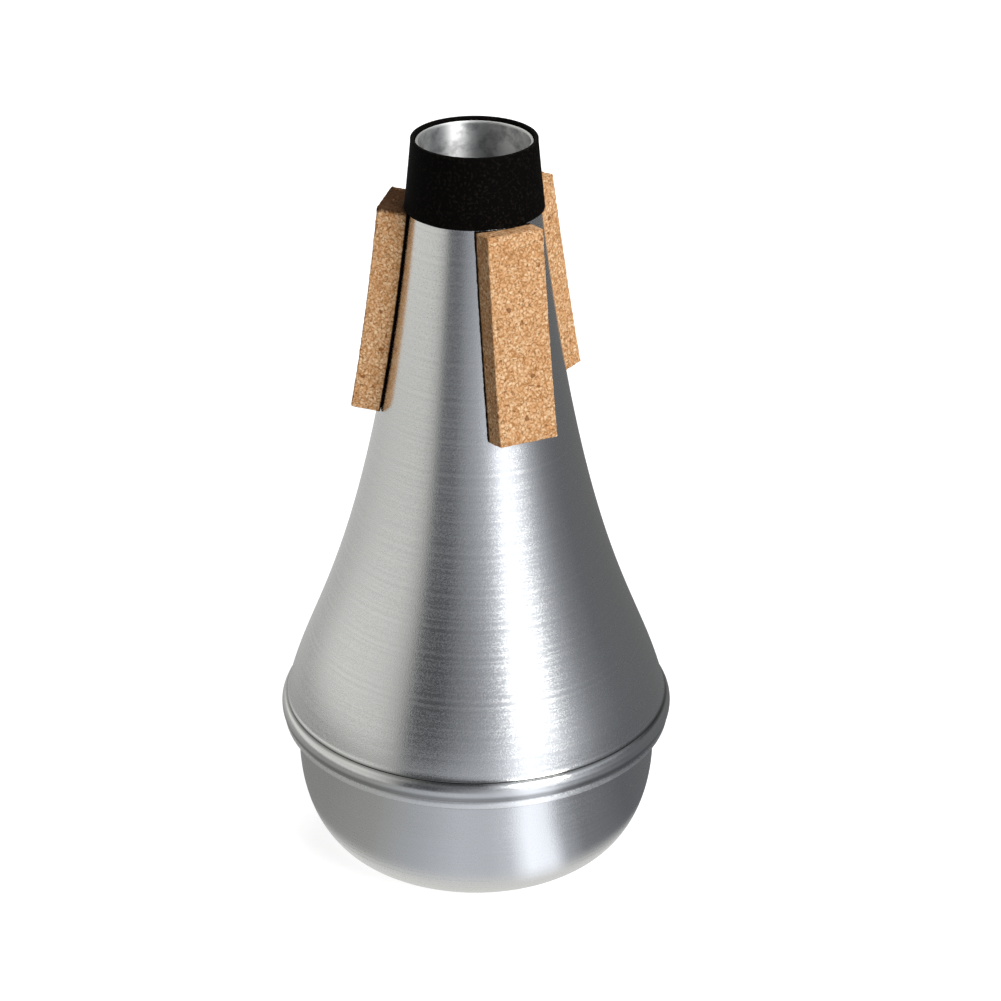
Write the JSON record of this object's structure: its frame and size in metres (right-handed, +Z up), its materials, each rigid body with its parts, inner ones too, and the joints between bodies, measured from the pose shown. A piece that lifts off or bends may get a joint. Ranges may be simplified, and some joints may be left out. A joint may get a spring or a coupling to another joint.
{
  "type": "trombone mute",
  "caption": "Straight mute of spun aluminium: a flared cone and a round bottom joined by a rolled seam, with a black rubber neck sleeve and cork strips that grip a trombone's bell.",
  "frame": {"origin": "centre of the flat bottom that the mute stands on", "axes": "+Z up along the mute's axis towards the open neck; -Y towards the middle of the front cork; +X to the right of the front cork seen from outside"},
  "size_m": [0.132, 0.132, 0.2511],
  "materials": {
    "spun_aluminium": "satin, with fine rings left by spinning",
    "black_rubber": "matt",
    "pressed_cork": "raw pressed cork granules"
  },
  "bodies": {
    "root": {"cone_shell": "spun_aluminium", "bowl_bottom": "spun_aluminium", "neck_sleeve": "black_rubber", "cork_front": "pressed_cork", "cork_left": "pressed_cork", "cork_right": "pressed_cork"}
  },
  "joints": []
}
